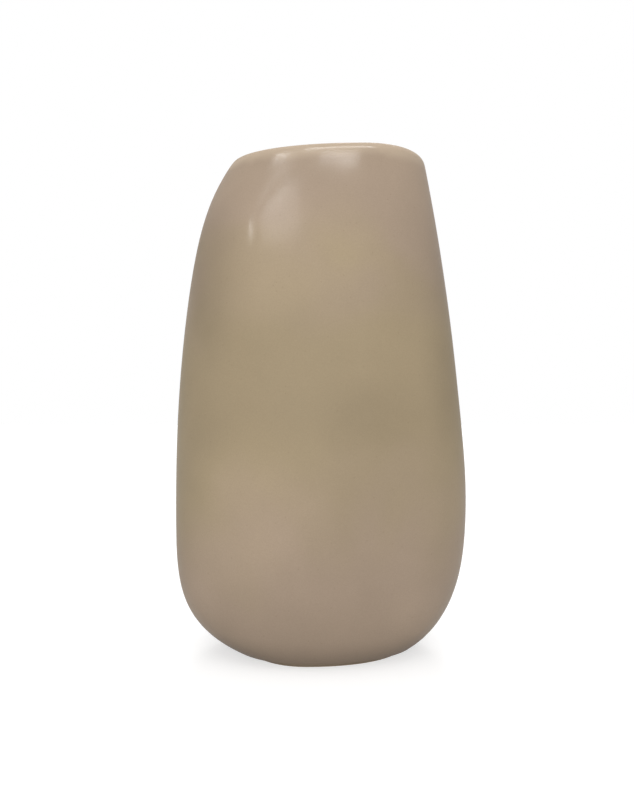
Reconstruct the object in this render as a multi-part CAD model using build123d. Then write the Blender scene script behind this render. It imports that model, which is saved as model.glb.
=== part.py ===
from build123d import *
from collections import namedtuple
from math import cos, pi, sin, sqrt
import os

# Outside of the glazed vase, in millimetres
overall_height = 260.0
belly_width = 155.0
belly_depth = 96.0
belly_height = 85.0  # level where the vase is widest
rim_left_reach = 46.0  # from the upright axis to the wall's line at the rim
rim_right_reach = 55.0
rim_depth = 62.0
rim_crest_shift = 22.0  # where the front stands furthest forward at the rim, from the axis

# Foot of the clay
foot_left_reach = 38.0  # from the upright axis to the edge of the foot
foot_right_reach = 43.5
foot_depth = 62.0
foot_crest_shift = -7.0  # where the front stands furthest forward at the foot, from the axis
foot_ring_width = 10.0
foot_recess_depth = 2.5
foot_recess_draft = 3.0  # how far the side of the recess leans in over its depth

# Thickness of the clay and of its coats
wall_thickness = 8.0
floor_thickness = 9.0
outer_glaze_thickness = 0.6
inner_glaze_thickness = 0.6
bare_foot_height = 2.5  # the outer coat stops this far above the table
lip_wrap = 6.0  # the outer coat rolls over the lip and stops this far down inside the mouth

overrun = 5.0  # how far a cutting solid runs past the face that it cuts

# Fullness of a plan section: reach of its curve handles at the narrow ends and along the front
end_handle_share = 0.57
front_handle_share = 0.58

# Each side rounds down from the belly to the foot on a superellipse, whose lowest part the foot
# cuts off. A higher power keeps the side upright for longer and turns in lower down.
base_cut_share = 0.96
left_base_power = 4.6
right_base_power = 2.95
front_base_power = 3.0

# Above the belly the left side bows in and then turns over a shoulder, and the right side leans in
left_shoulder_share = 0.38
left_shoulder_power = 8.8
right_lean_share = 0.46

# The lip rounds over the end of the wall
lip_outer_radius_share = 0.60
lip_inner_radius_share = 0.30

# Sections that the pillow form is lofted through. The last lies past the rim, where it is trimmed.
base_steps = 6
wall_steps = 7
past_rim_share = 1.05

lip_outer_radius = lip_outer_radius_share * wall_thickness
lip_inner_radius = lip_inner_radius_share * wall_thickness
clay_height = overall_height - outer_glaze_thickness

# Each side of the clay, measured from the upright axis
Side = namedtuple("Side", "belly rim foot base_power")
left_side = Side(
    belly_width / 2 - outer_glaze_thickness,
    rim_left_reach - outer_glaze_thickness,
    foot_left_reach,
    left_base_power,
)
right_side = Side(
    belly_width / 2 - outer_glaze_thickness,
    rim_right_reach - outer_glaze_thickness,
    foot_right_reach,
    right_base_power,
)
front_side = Side(
    belly_depth / 2 - outer_glaze_thickness,
    rim_depth / 2 - outer_glaze_thickness,
    foot_depth / 2,
    front_base_power,
)


def section_levels(bottom):
    """Levels from a shell's bottom, close together at the foot and again towards the rim."""
    base = [1 - cos(pi / 2 * step / base_steps) for step in range(base_steps)]
    wall = [past_rim_share * sin(pi / 2 * step / wall_steps) for step in range(wall_steps + 1)]
    return [bottom + share * (belly_height - bottom) for share in base] + [
        belly_height + share * (overall_height - belly_height) for share in wall
    ]


def draw_in_shares(level):
    """How far the left, the right and the front have drawn in from belly to rim at a level."""
    rise = max(level - belly_height, 0) / (overall_height - belly_height)
    bow = rise**2
    left = bow + left_shoulder_share * (rise**left_shoulder_power - bow)
    right = bow + right_lean_share * (rise - bow)
    return left, right, (left + right) / 2


def side_reach(side, level, draw_in_share, inset, bottom):
    """Reach of one side of a shell that lies inset within the clay's outside."""
    reach = side.belly - inset - draw_in_share * (side.belly - side.rim)
    if level < belly_height:
        foot_gap_share = 1 - sqrt(1 - base_cut_share**side.base_power)
        round_reach = (side.belly - side.foot) / foot_gap_share - inset
        fall_share = base_cut_share * (belly_height - level) / (belly_height - bottom)
        reach -= round_reach * (1 - sqrt(1 - fall_share**side.base_power))
    return reach


def crest_shift(level):
    """Where the front and back stand furthest out, which drifts sideways from foot to rim."""
    return foot_crest_shift + (rim_crest_shift - foot_crest_shift) * level / overall_height


def plan_face(left, right, depth, crest, level):
    """A pillow-shaped plan: four quarter curves between its narrow ends and its crests."""

    def quarter(end, side):
        return [
            Vector(end, 0, level),
            Vector(end, end_handle_share * side, level),
            Vector(crest + front_handle_share * (end - crest), side, level),
            Vector(crest, side, level),
        ]

    curves = [
        quarter(-left, -depth),
        quarter(right, -depth)[::-1],
        quarter(right, depth),
        quarter(-left, depth)[::-1],
    ]
    return Face(Wire([Edge.make_bezier(*points) for points in curves]))


def shell_section(level, inset, bottom):
    """The plan of a shell at one level."""
    sides = (left_side, right_side, front_side)
    reaches = [
        side_reach(side, level, share, inset, bottom)
        for side, share in zip(sides, draw_in_shares(level))
    ]
    return plan_face(*reaches, crest_shift(level), level)


def shell_solid(inset, bottom):
    """The pillow form as a solid from its bottom to past the rim, inset from the clay's outside."""
    return loft([shell_section(level, inset, bottom) for level in section_levels(bottom)])


def round_lip(pot, outer_radius, inner_radius):
    """Rounds the outer and the inner edge of a pot's flat rim."""
    rim = pot.faces().sort_by(Axis.Z)[-1]
    pot = fillet(rim.outer_wire().edges(), outer_radius)
    rim = pot.faces().sort_by(Axis.Z)[-1]
    return fillet(rim.inner_wires()[0].edges(), inner_radius)


def hollow_pot(outset, height, lining):
    """A pot with a rounded lip: the clay's own shape, thickened by a coat outside and inside."""
    blank = split(shell_solid(-outset, -outset), Plane.XY.offset(height), keep=Keep.BOTTOM)
    cavity = shell_solid(wall_thickness + lining, floor_thickness + lining)
    return round_lip(blank - cavity, lip_outer_radius + outset, lip_inner_radius + lining)


def foot_recess():
    """The shallow dished recess within the foot ring."""

    def recess_plan(level):
        inset = foot_ring_width + foot_recess_draft * level / foot_recess_depth
        return plan_face(
            foot_left_reach - inset,
            foot_right_reach - inset,
            foot_depth / 2 - inset,
            foot_crest_shift,
            level,
        )

    return loft([recess_plan(-overrun), recess_plan(foot_recess_depth)], ruled=True)


def glaze_coats(pot):
    """The coat outside, which rolls over the lip, and the coat that lines the inside below it."""
    coated = hollow_pot(outer_glaze_thickness, overall_height, inner_glaze_thickness)
    core = shell_solid(wall_thickness / 2, floor_thickness / 2)
    lined = split(core, Plane.XY.offset(overall_height - lip_wrap), keep=Keep.BOTTOM)
    glaze = coated - pot
    above_foot = Plane.XY.offset(bare_foot_height)
    return split(glaze - lined, above_foot, keep=Keep.TOP), glaze & lined


os.makedirs("parts", exist_ok=True)
clay_pot = hollow_pot(0, clay_height, 0)
outer_glaze, inner_glaze = glaze_coats(clay_pot)
export_step(clay_pot - foot_recess(), "parts/clay_body.step")
export_step(outer_glaze, "parts/outer_glaze.step")
export_step(inner_glaze, "parts/inner_glaze.step")
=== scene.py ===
import math

import bpy
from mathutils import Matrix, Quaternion, Vector


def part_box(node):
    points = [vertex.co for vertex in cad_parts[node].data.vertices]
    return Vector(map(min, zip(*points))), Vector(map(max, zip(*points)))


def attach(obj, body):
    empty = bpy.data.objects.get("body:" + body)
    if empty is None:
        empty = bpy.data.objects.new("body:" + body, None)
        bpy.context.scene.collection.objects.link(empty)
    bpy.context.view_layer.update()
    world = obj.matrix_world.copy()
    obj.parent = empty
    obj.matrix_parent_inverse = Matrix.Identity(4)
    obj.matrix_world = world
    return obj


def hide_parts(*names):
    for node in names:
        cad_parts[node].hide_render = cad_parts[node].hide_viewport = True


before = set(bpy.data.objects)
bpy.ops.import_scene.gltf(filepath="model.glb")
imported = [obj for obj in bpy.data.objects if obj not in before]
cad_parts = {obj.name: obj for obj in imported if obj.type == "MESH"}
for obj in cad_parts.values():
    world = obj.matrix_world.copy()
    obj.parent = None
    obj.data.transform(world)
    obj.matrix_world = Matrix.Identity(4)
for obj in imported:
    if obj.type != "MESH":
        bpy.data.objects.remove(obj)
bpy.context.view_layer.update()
print("frame loaded:", ", ".join(sorted(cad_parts)))

mm = 0.001
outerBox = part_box("outer_glaze")
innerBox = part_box("inner_glaze")
rimHeight = outerBox[1].z
footLine = outerBox[0].z


def deselectAll():
    bpy.ops.object.select_all(action="DESELECT")


def makeActive(piece):
    deselectAll()
    piece.select_set(True)
    bpy.context.view_layer.objects.active = piece


def applyModifier(piece, kind, **settings):
    makeActive(piece)
    modifier = piece.modifiers.new(kind.lower(), kind)
    for name, value in settings.items():
        setattr(modifier, name, value)
    bpy.ops.object.modifier_apply(modifier=modifier.name)


def selectEdges(piece, test):
    # picks edges by the places of their ends and leaves the piece in edit mode
    makeActive(piece)
    bpy.ops.object.mode_set(mode="EDIT")
    bpy.ops.mesh.select_mode(type="EDGE")
    bpy.ops.mesh.select_all(action="DESELECT")
    bpy.ops.object.mode_set(mode="OBJECT")
    points = piece.data.vertices
    for edge in piece.data.edges:
        edge.select = test(*(points[i].co for i in edge.vertices))
    bpy.ops.object.mode_set(mode="EDIT")


# Each coat starts as a round sleeve that is drawn up ring by ring and then laid on its solid
coat = {
    "segments": 112,
    "centre": 4 * mm,  # the sleeves' middle, a little to the right, as the lip is
    "outsideRadius": 110 * mm,
    "insideRadius": 8 * mm,
    "baseRings": 16,
    "wallRings": 24,
    "lipRings": 9,
    "baseTop": 60 * mm,
    "lipDepth": 6 * mm,  # how far the lip's close rings reach below the rim
    "crestLift": 30 * mm,  # holds the lip's inner ring above the outer one while they are bridged
    "thickness": 0.6 * mm,
    "floorShares": (0.86, 0.62, 0.34),
    "smoothAngle": 40,
    "hair": 0.02 * mm,
    "mouthLift": 20 * mm,  # a place this far above a coat's highest face is open air over the mouth
}
floorTop = innerBox[0].z + coat["thickness"]
seamLevel = innerBox[1].z  # the outer coat rolls over the lip and meets the lining here


def baseLevels(bottom):
    rise, count = coat["baseTop"] - bottom, coat["baseRings"]
    return [bottom + rise * (1 - math.cos(math.pi / 2 * i / count)) for i in range(count)]


def wallLevels(top):
    low, count = coat["baseTop"], coat["wallRings"]
    return [low + (top - low) * i / count for i in range(count)]


def lipLevels(bottom):
    # closer together towards the crest, which the bridge closes
    rise, count = rimHeight - bottom, coat["lipRings"]
    return [bottom + rise * math.sin(math.pi / 2 * i / count) for i in range(count)]


def drawSleeve(name, radius, levels):
    deselectAll()
    half = math.pi / coat["segments"]  # no point falls on the ends, where the solid's faces join
    bpy.ops.mesh.primitive_circle_add(
        vertices=coat["segments"],
        radius=radius,
        location=(coat["centre"], 0, levels[0]),
        rotation=(0, 0, half),
    )
    sleeve = bpy.context.object
    sleeve.name = name
    bpy.ops.object.transform_apply(location=True, rotation=True, scale=True)
    bpy.ops.object.mode_set(mode="EDIT")
    bpy.ops.mesh.select_all(action="SELECT")
    for low, high in zip(levels, levels[1:]):
        bpy.ops.mesh.extrude_region_move(TRANSFORM_OT_translate={"value": (0, 0, high - low)})
    bpy.ops.object.mode_set(mode="OBJECT")
    return sleeve


def layOn(sleeve, target):
    # slides every point, level by level, on to the nearest wall of the target
    applyModifier(
        sleeve,
        "SHRINKWRAP",
        target=target,
        wrap_method="PROJECT",
        use_negative_direction=True,
        use_positive_direction=True,
    )


def mergedCopy(node):
    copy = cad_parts[node].copy()
    copy.data = copy.data.copy()
    bpy.context.collection.objects.link(copy)
    makeActive(copy)
    bpy.ops.object.mode_set(mode="EDIT")
    bpy.ops.mesh.select_all(action="SELECT")
    bpy.ops.mesh.remove_doubles(threshold=coat["hair"])
    bpy.ops.object.mode_set(mode="OBJECT")
    return copy


# A soft ridge that the maker's hand left down the left of the front
ridge = {
    "angle": math.radians(214),  # round the sleeves' middle
    "way": Vector((-0.447, -0.894, 0)),
    "columnShare": 1.01,  # of half a step round the sleeve, so that one column of points is taken
    "pulls": (
        # from height, to height, how far, how wide
        (96 * mm, 214 * mm, 1.0 * mm, 44 * mm),
        (130 * mm, 206 * mm, 1.0 * mm, 34 * mm),
        (165 * mm, 224 * mm, 0.9 * mm, 22 * mm),
    ),
}


def pullRidge(piece, low, high, push, reach):
    makeActive(piece)
    bpy.ops.object.mode_set(mode="EDIT")
    bpy.ops.mesh.select_mode(type="VERT")
    bpy.ops.mesh.select_all(action="DESELECT")
    bpy.ops.object.mode_set(mode="OBJECT")
    aside = ridge["columnShare"] * math.pi / coat["segments"]
    for point in piece.data.vertices:
        angle = math.atan2(point.co.y, point.co.x - coat["centre"]) % math.tau
        point.select = low < point.co.z < high and abs(angle - ridge["angle"]) < aside
    bpy.ops.object.mode_set(mode="EDIT")
    bpy.ops.transform.translate(
        value=ridge["way"] * push,
        use_proportional_edit=True,
        proportional_edit_falloff="SMOOTH",
        proportional_size=reach,
    )
    bpy.ops.object.mode_set(mode="OBJECT")


def turnFaces(piece):
    # a coat's highest face looks up or into the mouth, and the rest follows from that
    makeActive(piece)
    bpy.ops.object.mode_set(mode="EDIT")
    bpy.ops.mesh.select_all(action="SELECT")
    bpy.ops.mesh.normals_make_consistent(inside=False)
    bpy.ops.object.mode_set(mode="OBJECT")
    face = max(piece.data.polygons, key=lambda each: each.center.z)
    inwards = Vector((coat["centre"], 0, face.center.z + coat["mouthLift"])) - face.center
    if face.normal.dot(inwards) < 0:
        bpy.ops.object.mode_set(mode="EDIT")
        bpy.ops.mesh.flip_normals()
        bpy.ops.object.mode_set(mode="OBJECT")


def thickenCoat(piece):
    applyModifier(piece, "SUBSURF", levels=1, render_levels=1)
    applyModifier(piece, "SOLIDIFY", thickness=coat["thickness"], offset=-1, use_rim=True)
    makeActive(piece)
    bpy.ops.object.shade_smooth_by_angle(angle=math.radians(coat["smoothAngle"]))


def buildOutside():
    lip = rimHeight - coat["lipDepth"]
    levels = baseLevels(footLine + coat["hair"]) + wallLevels(lip) + lipLevels(lip)
    piece = drawSleeve("outsideGlaze", coat["outsideRadius"], levels)
    collar = drawSleeve("collar", coat["insideRadius"], lipLevels(seamLevel + coat["hair"]))
    for sleeve in (piece, collar):
        layOn(sleeve, outerSolid)
    topRing = levels[-1] - coat["hair"]
    lift = coat["crestLift"]
    selectEdges(collar, lambda a, b: min(a.z, b.z) > topRing)
    bpy.ops.transform.translate(value=(0, 0, lift))
    bpy.ops.object.mode_set(mode="OBJECT")
    makeActive(piece)
    collar.select_set(True)
    bpy.ops.object.join()
    selectEdges(piece, lambda a, b: min(a.z, b.z) > topRing)
    bpy.ops.mesh.bridge_edge_loops()
    bpy.ops.object.mode_set(mode="OBJECT")
    selectEdges(piece, lambda a, b: min(a.z, b.z) > rimHeight)
    bpy.ops.transform.translate(value=(0, 0, -lift))
    bpy.ops.object.mode_set(mode="OBJECT")
    for pull in ridge["pulls"]:
        pullRidge(piece, *pull)
    turnFaces(piece)
    thickenCoat(piece)
    return piece


def buildLining():
    bottom = floorTop + coat["hair"]
    top = seamLevel - coat["hair"]
    piece = drawSleeve("insideGlaze", coat["insideRadius"], baseLevels(bottom) + wallLevels(top) + [top])
    layOn(piece, innerSolid)
    selectEdges(piece, lambda a, b: max(a.z, b.z) < bottom + coat["hair"])
    last = 1
    for share in coat["floorShares"]:
        bpy.ops.mesh.extrude_region_move(TRANSFORM_OT_translate={"value": (0, 0, 0)})
        factor = share / last
        bpy.ops.transform.resize(value=(factor, factor, 1), center_override=(0, 0, bottom))
        last = share
    bpy.ops.mesh.fill_grid(span=coat["segments"] // 4)
    bpy.ops.object.mode_set(mode="OBJECT")
    turnFaces(piece)
    thickenCoat(piece)
    return piece


outerSolid = mergedCopy("outer_glaze")
innerSolid = mergedCopy("inner_glaze")
outside = buildOutside()
print("outside coat:", len(outside.data.polygons), "faces")
lining = buildLining()
print("lining:", len(lining.data.polygons), "faces")
for helper in (outerSolid, innerSolid):
    bpy.data.objects.remove(helper)


# Node helpers
def addNode(tree, kind, place, **settings):
    node = tree.nodes.new(kind)
    node.location = place
    for name, value in settings.items():
        setattr(node, name, value)
    return node


def setInputs(node, **values):
    # an underscore stands for a space in the socket's name
    for name, value in values.items():
        node.inputs[name.replace("_", " ")].default_value = value


def join(tree, source, target):
    tree.links.new(source, target)


def rgb(red, green, blue):
    # a colour written as the eye sees it, from 0 to 255
    def straight(level):
        level /= 255
        return level / 12.92 if level <= 0.04045 else ((level + 0.055) / 1.055) ** 2.4

    return (straight(red), straight(green), straight(blue), 1)


def newMaterial(name):
    material = bpy.data.materials.new(name)
    material.use_nodes = True
    tree = material.node_tree
    return material, tree, tree.nodes["Principled BSDF"]


def wear(piece, material):
    piece.data.materials.clear()
    piece.data.materials.append(material)


# Soft drifts, finer patches, small specks and grain that both coats and the clay use
mottling = {
    "drift": {"Detail": 2.0, "Roughness": 0.45, "Distortion": 0.6},
    "patches": {"Detail": 3.0, "Roughness": 0.5, "Distortion": 0.3},
    "grain": {"Detail": 2.0, "Roughness": 0.6},
    "patchFineness": 3.1,  # against the drift
    "speckEdge": (0.12, 0.34),  # a speck fades out between these distances from its middle
    "span": (0.3, 0.7),  # nearly all values of drift, patches and grain lie in this span
}
span = mottling["span"]


def buildMottle():
    group = bpy.data.node_groups.new("firedMottle", "ShaderNodeTree")
    group.interface.new_socket(name="Place", in_out="INPUT", socket_type="NodeSocketVector")
    for name in ("Drift Scale", "Speck Scale", "Speck Share", "Grain Scale"):
        group.interface.new_socket(name=name, in_out="INPUT", socket_type="NodeSocketFloat")
    for name in ("Drift", "Patches", "Specks", "Grain"):
        group.interface.new_socket(name=name, in_out="OUTPUT", socket_type="NodeSocketFloat")
    start = addNode(group, "NodeGroupInput", (-900, 0))
    end = addNode(group, "NodeGroupOutput", (500, 0))

    drift = addNode(group, "ShaderNodeTexNoise", (-500, 300))
    setInputs(drift, **mottling["drift"])
    patches = addNode(group, "ShaderNodeTexNoise", (-500, 50))
    setInputs(patches, **mottling["patches"])
    finer = addNode(group, "ShaderNodeMath", (-700, 50), operation="MULTIPLY")
    finer.inputs[1].default_value = mottling["patchFineness"]
    specks = addNode(group, "ShaderNodeTexVoronoi", (-500, -200))
    chance = addNode(group, "ShaderNodeMath", (-250, -300), operation="LESS_THAN")
    dot = addNode(group, "ShaderNodeMapRange", (-250, -150))
    near, far = mottling["speckEdge"]
    setInputs(dot, From_Min=near, From_Max=far, To_Min=1.0, To_Max=0.0)
    both = addNode(group, "ShaderNodeMath", (0, -200), operation="MULTIPLY")
    split = addNode(group, "ShaderNodeSeparateColor", (-250, -450))
    grain = addNode(group, "ShaderNodeTexNoise", (-500, -600))
    setInputs(grain, **mottling["grain"])

    for node in (drift, patches, specks, grain):
        join(group, start.outputs["Place"], node.inputs["Vector"])
    join(group, start.outputs["Drift Scale"], drift.inputs["Scale"])
    join(group, start.outputs["Drift Scale"], finer.inputs[0])
    join(group, finer.outputs[0], patches.inputs["Scale"])
    join(group, start.outputs["Speck Scale"], specks.inputs["Scale"])
    join(group, start.outputs["Grain Scale"], grain.inputs["Scale"])
    join(group, specks.outputs["Distance"], dot.inputs["Value"])
    join(group, specks.outputs["Color"], split.inputs["Color"])
    join(group, split.outputs["Red"], chance.inputs[0])
    join(group, start.outputs["Speck Share"], chance.inputs[1])
    join(group, dot.outputs[0], both.inputs[0])
    join(group, chance.outputs[0], both.inputs[1])
    join(group, drift.outputs["Fac"], end.inputs["Drift"])
    join(group, patches.outputs["Fac"], end.inputs["Patches"])
    join(group, both.outputs[0], end.inputs["Specks"])
    join(group, grain.outputs["Fac"], end.inputs["Grain"])
    return group


def addMottle(tree, place, **values):
    node = addNode(tree, "ShaderNodeGroup", place, node_tree=mottle)
    setInputs(node, **values)
    return node


def remap(tree, source, place, low, high, toLow=0.0, toHigh=1.0, smooth=False):
    node = addNode(tree, "ShaderNodeMapRange", place)
    if smooth:
        node.interpolation_type = "SMOOTHSTEP"
    setInputs(node, From_Min=low, From_Max=high, To_Min=toLow, To_Max=toHigh)
    join(tree, source, node.inputs["Value"])
    return node.outputs["Result"]


def blendColour(tree, place, factor, first, second, mode="MIX"):
    # the factor and both colours are sockets or plain values
    node = addNode(tree, "ShaderNodeMix", place, data_type="RGBA", blend_type=mode)
    for value, socket in ((factor, node.inputs[0]), (first, node.inputs[6]), (second, node.inputs[7])):
        if isinstance(value, bpy.types.NodeSocket):
            join(tree, value, socket)
        else:
            socket.default_value = value
    return node.outputs[2]


def calc(tree, place, operation, first, second):
    node = addNode(tree, "ShaderNodeMath", place, operation=operation)
    for value, socket in ((first, node.inputs[0]), (second, node.inputs[1])):
        if isinstance(value, bpy.types.NodeSocket):
            join(tree, value, socket)
        else:
            socket.default_value = value
    return node.outputs[0]


mottle = buildMottle()

# Satin glaze: greener in the middle of the vase, pinker towards the lip and the foot
glaze = {
    "olive": rgb(166, 149, 121),
    "mauve": rgb(169, 150, 131),
    "lipBreakAndPaintedLight": rgb(190, 171, 149),  # thinner and paler where it breaks over the lip, and painted lighter there for the light that falls on the lip's top
    "speck": rgb(120, 100, 76),
    "speckStrength": 0.16,
    "mottle": {"Drift_Scale": 13.0, "Speck_Scale": 650.0, "Speck_Share": 0.03, "Grain_Scale": 1500.0},
    "lowTurn": (30 * mm, 108 * mm),  # heights between which mauve turns to olive
    "lowTurnLean": 0.25,  # how much higher that lies for each step to the right
    "highTurn": (165 * mm, 227 * mm),  # and olive turns back to mauve
    "turnWander": 28 * mm,
    "patchShades": ((0.975, 0.975, 0.97, 1), (1.02, 1.018, 1.015, 1)),
    "lipBand": (10 * mm, 3.5 * mm),  # below the rim, where the paler glaze and its painted light start and are full
    "lipWander": 1.6 * mm,
    "lipStrength": 0.9,
    "bodyRoughness": (0.52, 0.62),
    "bodySpecular": 0.0,
    "shine": (0.22, 0.30),  # share of the clear top layer
    "shineRoughness": 0.16,
    "grainHeight": 0.003 * mm,
    "grainShade": (0.965, 1.035),
    "darkerLowBand": (3 * mm, 17 * mm),  # painted shade: darker just above the foot, under the belly by the floor
    "paintedFootShade": -0.20,
    "cloudFade": (0.1, 1.1),  # shares of the half size between which a cloud fades out
    "cloudWander": 0.25,
    # soft patches: on the front mostly painted light and shade, elsewhere tone in the glaze
    "toneAndPaintedLightClouds": (
        # middle and half size along each axis in mm, how much paler
        # a painted glow on the upper left, right of the ridge
        ((-18, -37, 197), (54, 40, 44), 0.12),
        # a darker patch in the glaze's tone
        ((25, -45, 124), (34, 30, 22), -0.09),
        # a painted reflection on the lower left
        ((-36, -42, 77), (50, 40, 48), 0.13),
        # paler low at both sides: painted bounce light from the floor
        ((-62, -25, 33), (18, 26, 22), 0.09),
        ((48, -33, 26), (26, 26, 22), 0.09),
        # painted shade down the left flank beside the ridge, then down the right edge and its upper part
        ((-60, -24, 190), (34, 34, 58), -0.14),
        ((68, -14, 152), (26, 40, 95), -0.14),
        ((60, -18, 200), (32, 40, 44), -0.105),
        # patches in the glaze's tone at the back
        ((20, 40, 188), (52, 38, 46), 0.11),
        ((-30, 45, 80), (50, 38, 46), 0.11),
        ((28, 46, 122), (32, 30, 24), -0.08),
    ),
}


def buildCloud():
    # a soft round patch that fades out from its middle, with a wandering edge
    group = bpy.data.node_groups.new("softCloud", "ShaderNodeTree")
    group.interface.new_socket(name="Wander", in_out="INPUT", socket_type="NodeSocketFloat")
    for name in ("Place", "Middle", "Half Size"):
        group.interface.new_socket(name=name, in_out="INPUT", socket_type="NodeSocketVector")
    group.interface.new_socket(name="Cloud", in_out="OUTPUT", socket_type="NodeSocketFloat")
    start = addNode(group, "NodeGroupInput", (-900, 0))
    end = addNode(group, "NodeGroupOutput", (300, 0))
    offset = addNode(group, "ShaderNodeVectorMath", (-700, 0), operation="SUBTRACT")
    share = addNode(group, "ShaderNodeVectorMath", (-500, 0), operation="DIVIDE")
    far = addNode(group, "ShaderNodeVectorMath", (-300, 0), operation="LENGTH")
    join(group, start.outputs["Place"], offset.inputs[0])
    join(group, start.outputs["Middle"], offset.inputs[1])
    join(group, offset.outputs[0], share.inputs[0])
    join(group, start.outputs["Half Size"], share.inputs[1])
    join(group, share.outputs[0], far.inputs[0])
    edge = calc(group, (-100, 0), "ADD", far.outputs["Value"], start.outputs["Wander"])
    fade = remap(group, edge, (100, 0), *glaze["cloudFade"], 1.0, 0.0, smooth=True)
    join(group, fade, end.inputs["Cloud"])
    return group


cloud = buildCloud()


def paintedLightAndCloudShade(tree, place, spots, height):
    # adds up the painted shade above the foot and what the clouds make paler or darker; on the front
    # these are painted glow, painted reflection, painted bounce light and painted shade
    sway = glaze["cloudWander"]
    wander = remap(tree, spots.outputs["Drift"], (-1150, 700), *span, -sway, sway)
    # painted shade, darker just above the foot
    shade = remap(tree, height, (-950, 700), *glaze["darkerLowBand"], 1 + glaze["paintedFootShade"], 1.0, smooth=True)
    for i, (middle, halfSize, paler) in enumerate(glaze["toneAndPaintedLightClouds"]):
        column = -750 + 200 * i
        patch = addNode(tree, "ShaderNodeGroup", (column, 900), node_tree=cloud)
        setInputs(patch, Middle=Vector(middle) * mm, Half_Size=Vector(halfSize) * mm)
        join(tree, place, patch.inputs["Place"])
        join(tree, wander, patch.inputs["Wander"])
        part = calc(tree, (column, 700), "MULTIPLY", patch.outputs["Cloud"], paler)
        shade = calc(tree, (column, 550), "ADD", shade, part)
    return shade


def buildSatin():
    material, tree, shader = newMaterial("satinGlaze")
    place = addNode(tree, "ShaderNodeTexCoord", (-1700, 0)).outputs["Object"]
    spots = addMottle(tree, (-1400, -100), **glaze["mottle"])
    join(tree, place, spots.inputs["Place"])
    axes = addNode(tree, "ShaderNodeSeparateXYZ", (-1400, 300))
    join(tree, place, axes.inputs[0])
    # the two turns of colour wander up and down with the drift
    sway = glaze["turnWander"]
    wander = remap(tree, spots.outputs["Drift"], (-1150, 150), *span, -sway, sway)
    height = calc(tree, (-950, 300), "ADD", axes.outputs["Z"], wander)
    drop = calc(tree, (-1150, 450), "MULTIPLY", axes.outputs["X"], -glaze["lowTurnLean"])
    lowHeight = calc(tree, (-950, 450), "ADD", height, drop)
    low = remap(tree, lowHeight, (-750, 400), *glaze["lowTurn"], smooth=True)
    high = remap(tree, height, (-750, 150), *glaze["highTurn"], 1.0, 0.0, smooth=True)
    middle = calc(tree, (-550, 300), "MULTIPLY", low, high)
    colour = blendColour(tree, (-350, 300), middle, glaze["mauve"], glaze["olive"])
    patchy = remap(tree, spots.outputs["Patches"], (-1150, -150), *span)
    tint = blendColour(tree, (-150, 300), patchy, *glaze["patchShades"])
    colour = blendColour(tree, (50, 300), 1.0, colour, tint, "MULTIPLY")
    grain = remap(tree, spots.outputs["Grain"], (-150, 700), *span, *glaze["grainShade"])
    # painted light and shade from the clouds and above the foot, with the glaze's tone patches
    toneAndPaintedLightClouds = paintedLightAndCloudShade(tree, place, spots, axes.outputs["Z"])
    shade = calc(tree, (50, 700), "MULTIPLY", toneAndPaintedLightClouds, grain)
    shaded = addNode(tree, "ShaderNodeVectorMath", (150, 450), operation="SCALE")
    join(tree, colour, shaded.inputs[0])
    join(tree, shade, shaded.inputs["Scale"])
    colour = shaded.outputs[0]
    speck = calc(tree, (-350, 0), "MULTIPLY", spots.outputs["Specks"], glaze["speckStrength"])
    colour = blendColour(tree, (250, 300), speck, colour, glaze["speck"])
    # the paler lip band: thinner glaze, and painted light on the lip's top
    sway = glaze["lipWander"]
    uneven = remap(tree, spots.outputs["Patches"], (-1150, -350), *span, -sway, sway)
    lipHeight = calc(tree, (-950, -100), "ADD", axes.outputs["Z"], uneven)
    lipStart, lipFull = (rimHeight - depth for depth in glaze["lipBand"])
    lip = remap(tree, lipHeight, (-750, -100), lipStart, lipFull, smooth=True)
    lip = calc(tree, (-350, -150), "MULTIPLY", lip, glaze["lipStrength"])
    colour = blendColour(tree, (450, 300), lip, colour, glaze["lipBreakAndPaintedLight"])
    join(tree, colour, shader.inputs["Base Color"])
    rough = remap(tree, spots.outputs["Patches"], (-350, -350), *span, *glaze["bodyRoughness"])
    join(tree, rough, shader.inputs["Roughness"])
    shine = remap(tree, spots.outputs["Drift"], (-350, -600), *span, *glaze["shine"])
    join(tree, shine, shader.inputs["Coat Weight"])
    bump = addNode(tree, "ShaderNodeBump", (-150, -850))
    setInputs(bump, Strength=1.0, Distance=glaze["grainHeight"])
    join(tree, spots.outputs["Grain"], bump.inputs["Height"])
    join(tree, bump.outputs[0], shader.inputs["Normal"])
    setInputs(shader, Specular_IOR_Level=glaze["bodySpecular"], Coat_Roughness=glaze["shineRoughness"])
    shader.location = (700, 300)
    tree.nodes["Material Output"].location = (1000, 300)
    return material


liner = {
    "body": rgb(150, 132, 104),
    "pooled": rgb(126, 108, 82),  # deeper where it ran down and pooled on the floor
    "mottle": {"Drift_Scale": 20.0, "Speck_Scale": 500.0, "Speck_Share": 0.08, "Grain_Scale": 900.0},
    "darkerLowBand": (10 * mm, 60 * mm),
    "poolStrength": 0.85,
    "poolWander": 12 * mm,
    "speckStrength": 0.35,
    "rippleHeight": 0.05 * mm,
    "roughness": (0.16, 0.24),
}


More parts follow.
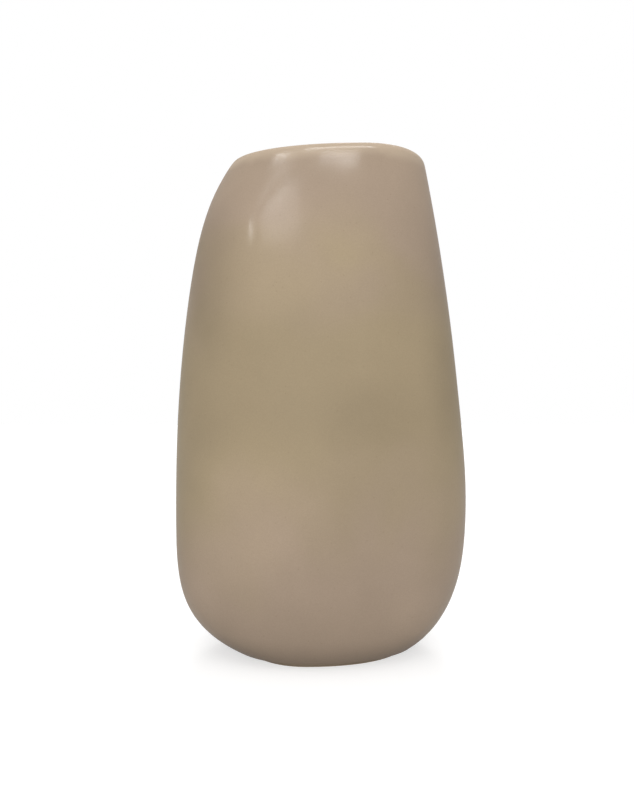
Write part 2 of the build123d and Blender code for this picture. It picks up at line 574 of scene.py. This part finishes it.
def buildLinerGloss():
    material, tree, shader = newMaterial("liningGlaze")
    place = addNode(tree, "ShaderNodeTexCoord", (-1300, 0)).outputs["Object"]
    spots = addMottle(tree, (-1050, -100), **liner["mottle"])
    join(tree, place, spots.inputs["Place"])
    axes = addNode(tree, "ShaderNodeSeparateXYZ", (-1050, 300))
    join(tree, place, axes.inputs[0])
    sway = liner["poolWander"]
    wander = remap(tree, spots.outputs["Patches"], (-800, 150), *span, -sway, sway)
    height = calc(tree, (-600, 300), "ADD", axes.outputs["Z"], wander)
    darkerLowBand = remap(tree, height, (-400, 300), *liner["darkerLowBand"], liner["poolStrength"], 0.0, smooth=True)
    colour = blendColour(tree, (-150, 300), darkerLowBand, liner["body"], liner["pooled"])
    speck = calc(tree, (-400, 0), "MULTIPLY", spots.outputs["Specks"], liner["speckStrength"])
    colour = blendColour(tree, (50, 300), speck, colour, glaze["speck"])
    join(tree, colour, shader.inputs["Base Color"])
    rough = remap(tree, spots.outputs["Drift"], (-150, -100), *span, *liner["roughness"])
    join(tree, rough, shader.inputs["Roughness"])
    bump = addNode(tree, "ShaderNodeBump", (-150, -350))
    setInputs(bump, Strength=1.0, Distance=liner["rippleHeight"])
    join(tree, spots.outputs["Patches"], bump.inputs["Height"])
    join(tree, bump.outputs[0], shader.inputs["Normal"])
    shader.location = (350, 300)
    tree.nodes["Material Output"].location = (650, 300)
    return material


clay = {
    "buff": rgb(203, 184, 154),
    "toasted": rgb(186, 158, 122),
    "grit": rgb(128, 104, 78),
    "mottle": {"Drift_Scale": 45.0, "Speck_Scale": 900.0, "Speck_Share": 0.16, "Grain_Scale": 2200.0},
    "toastSpan": (0.35, 0.7),
    "gritStrength": 0.6,
    "filmAndFootShade": rgb(150, 133, 114),  # thin glaze left in the recess and on the side of the foot, and painted shade on the foot's side by the floor
    "filmTurn": (0.1 * mm, 0.5 * mm),  # heights between which the film starts
    "filmStrength": 0.9,
    "roughness": (0.78, 0.92),
    "grainHeight": 0.12 * mm,
}


def buildBareClay():
    material, tree, shader = newMaterial("bareClay")
    place = addNode(tree, "ShaderNodeTexCoord", (-1300, 0)).outputs["Object"]
    spots = addMottle(tree, (-1050, -100), **clay["mottle"])
    join(tree, place, spots.inputs["Place"])
    toast = remap(tree, spots.outputs["Drift"], (-700, 300), *clay["toastSpan"])
    colour = blendColour(tree, (-400, 300), toast, clay["buff"], clay["toasted"])
    speck = calc(tree, (-700, 0), "MULTIPLY", spots.outputs["Specks"], clay["gritStrength"])
    colour = blendColour(tree, (-150, 300), speck, colour, clay["grit"])
    axes = addNode(tree, "ShaderNodeSeparateXYZ", (-700, 550))
    join(tree, place, axes.inputs[0])
    # thin glaze film, which also paints shade on the foot's side by the floor
    filmAndFootShade = remap(tree, axes.outputs["Z"], (-400, 550), *clay["filmTurn"])
    filmAndFootShade = calc(tree, (-150, 550), "MULTIPLY", filmAndFootShade, clay["filmStrength"])
    colour = blendColour(tree, (50, 300), filmAndFootShade, colour, clay["filmAndFootShade"])
    join(tree, colour, shader.inputs["Base Color"])
    rough = remap(tree, spots.outputs["Grain"], (-400, -100), *span, *clay["roughness"])
    join(tree, rough, shader.inputs["Roughness"])
    bump = addNode(tree, "ShaderNodeBump", (-400, -350))
    setInputs(bump, Strength=1.0, Distance=clay["grainHeight"])
    join(tree, spots.outputs["Grain"], bump.inputs["Height"])
    join(tree, bump.outputs[0], shader.inputs["Normal"])
    shader.location = (300, 300)
    tree.nodes["Material Output"].location = (600, 300)
    return material


wear(outside, buildSatin())
wear(lining, buildLinerGloss())
wear(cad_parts["clay_body"], buildBareClay())
for piece, slotName in ((outside, "outer_glaze"), (lining, "inner_glaze")):
    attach(piece, "root")
    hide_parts(slotName)
print("glazes and clay finished")


# The photograph's camera: level, close, a little below half height
view = {
    "place": (-2.04 * mm, -360 * mm, 129.0 * mm),
    "pixelsPerMm": 1.853,
    "imageHeight": 811,
    "sensor": 36,
    "clipStart": 10 * mm,
}


def buildCamera():
    deselectAll()
    bpy.ops.object.camera_add(location=view["place"], rotation=(math.pi / 2, 0, 0))
    camera = bpy.context.object
    camera.name = "photoCamera"
    focalPixels = view["pixelsPerMm"] * -view["place"][1] / mm
    camera.data.sensor_width = view["sensor"]
    camera.data.lens = view["sensor"] * focalPixels / view["imageHeight"]
    camera.data.clip_start = view["clipStart"]
    bpy.context.scene.camera = camera


buildCamera()
scene = bpy.context.scene
scene.view_settings.view_transform = "Standard"
print("camera set")


# Studio: a white room to the eye, soft light from front, top and back, small lamps for the gloss
studio = {
    "floorSize": 8,
    "floorDrop": 0.1 * mm,  # keeps the floor apart from the foot
    "floorBounce": 0.42,  # how pale the floor is to the light that it throws back
    "floorGlow": 0.62,  # with the next value, how white the floor looks
    "floorWhite": 0.5,
    "ambient": 0.37,  # what the white room gives as light
    "skies": (
        # name, turn from the front, elevation, spread, strength
        ("frontSky", 0, 14, 50, 1.70),
        ("topSky", 0, 82, 60, 1.30),
        ("backSky", 180, 30, 24, 1.45),
    ),
    "target": (0, -30 * mm, 240 * mm),  # the lamps stand round this place near the lip
    "distance": 1.2,
    "lamps": (
        # name, azimuth from the front, elevation, lean, width, height, watts for each square metre
        ("lipLamp", -2, 62, 0, 0.66, 0.25, 52),
        ("bowlLamp", -6, 47.8, -11, 0.30, 0.035, 125),
        ("bowlLowLamp", -2, 45, 0, 0.15, 0.05, 48),
        ("spotLamp", -49, 52.5, 0, 0.17, 0.055, 92),
        ("glowLamp", -40, 47.5, 0, 0.15, 0.10, 20),
        ("streakLamp", -39.5, 32.5, 44, 0.035, 0.21, 125),
        ("veilLamp", -31, 41, 56, 0.035, 0.15, 80),
        ("patchLamp", -24, 33.5, 30, 0.15, 0.30, 24),
        ("crestLamp", -44, 45.3, 65, 0.04, 0.12, 16),
        ("rearLamp", 168, 47, 8, 0.32, 0.05, 45),
    ),
}


def seenDirectly(tree, place):
    # 1 for what the camera sees straight, mirrored or through glass
    path = addNode(tree, "ShaderNodeLightPath", place)
    first = addNode(tree, "ShaderNodeMath", (place[0] + 180, place[1]), operation="MAXIMUM")
    second = addNode(tree, "ShaderNodeMath", (place[0] + 360, place[1]), operation="MAXIMUM")
    join(tree, path.outputs["Is Camera Ray"], first.inputs[0])
    join(tree, path.outputs["Is Glossy Ray"], first.inputs[1])
    join(tree, first.outputs[0], second.inputs[0])
    join(tree, path.outputs["Is Transmission Ray"], second.inputs[1])
    return second.outputs[0]


def buildFloor():
    deselectAll()
    bpy.ops.mesh.primitive_plane_add(size=studio["floorSize"], location=(0, 0, -studio["floorDrop"]))
    floor = bpy.context.object
    floor.name = "floor"
    material = bpy.data.materials.new("paleFloor")
    material.use_nodes = True
    tree = material.node_tree
    tree.nodes.clear()
    bounce, white = studio["floorBounce"], studio["floorWhite"]
    dull = addNode(tree, "ShaderNodeBsdfDiffuse", (0, 200))
    setInputs(dull, Color=(bounce, bounce, bounce, 1))
    bright = addNode(tree, "ShaderNodeBsdfDiffuse", (0, 0))
    setInputs(bright, Color=(white, white, white, 1))
    glow = addNode(tree, "ShaderNodeEmission", (0, -200))
    setInputs(glow, Strength=studio["floorGlow"])
    pale = addNode(tree, "ShaderNodeAddShader", (200, -100))
    mix = addNode(tree, "ShaderNodeMixShader", (400, 0))
    out = addNode(tree, "ShaderNodeOutputMaterial", (600, 0))
    join(tree, bright.outputs[0], pale.inputs[0])
    join(tree, glow.outputs[0], pale.inputs[1])
    join(tree, seenDirectly(tree, (-400, 400)), mix.inputs[0])
    join(tree, dull.outputs[0], mix.inputs[1])
    join(tree, pale.outputs[0], mix.inputs[2])
    join(tree, mix.outputs[0], out.inputs["Surface"])
    floor.data.materials.append(material)


def buildRoom():
    world = bpy.data.worlds.new("room")
    scene.world = world
    world.use_nodes = True
    tree = world.node_tree
    background = tree.nodes["Background"]
    setInputs(background, Color=(1, 1, 1, 1))
    level = remap(tree, seenDirectly(tree, (-800, 0)), (-200, 0), 0.0, 1.0, studio["ambient"], 1.0)
    join(tree, level, background.inputs["Strength"])


def buildLights():
    for name, turn, elevation, spread, strength in studio["skies"]:
        deselectAll()
        tilt = math.radians(90 - elevation)
        bpy.ops.object.light_add(type="SUN", rotation=(tilt, 0, math.radians(turn)))
        sky = bpy.context.object
        sky.name = name
        sky.data.energy = strength
        sky.data.angle = math.radians(spread)
        sky.visible_glossy = False  # too wide to be mirrored as one disc
    target = Vector(studio["target"])
    for name, azimuth, elevation, lean, width, height, glow in studio["lamps"]:
        turn, rise = math.radians(azimuth), math.radians(elevation)
        level = math.cos(rise)
        aim = Vector((math.sin(turn) * level, -math.cos(turn) * level, math.sin(rise)))
        deselectAll()
        bpy.ops.object.light_add(type="AREA", location=target + aim * studio["distance"])
        lamp = bpy.context.object
        lamp.name = name
        leaning = Quaternion((0, 0, 1), math.radians(lean))
        lamp.rotation_euler = (aim.to_track_quat("Z", "Y") @ leaning).to_euler()
        lamp.data.shape = "RECTANGLE"
        lamp.data.size = width
        lamp.data.size_y = height
        lamp.data.energy = glow * width * height
        lamp.visible_diffuse = False  # they only give the glaze its shine


buildFloor()
buildRoom()
buildLights()
print("studio set")
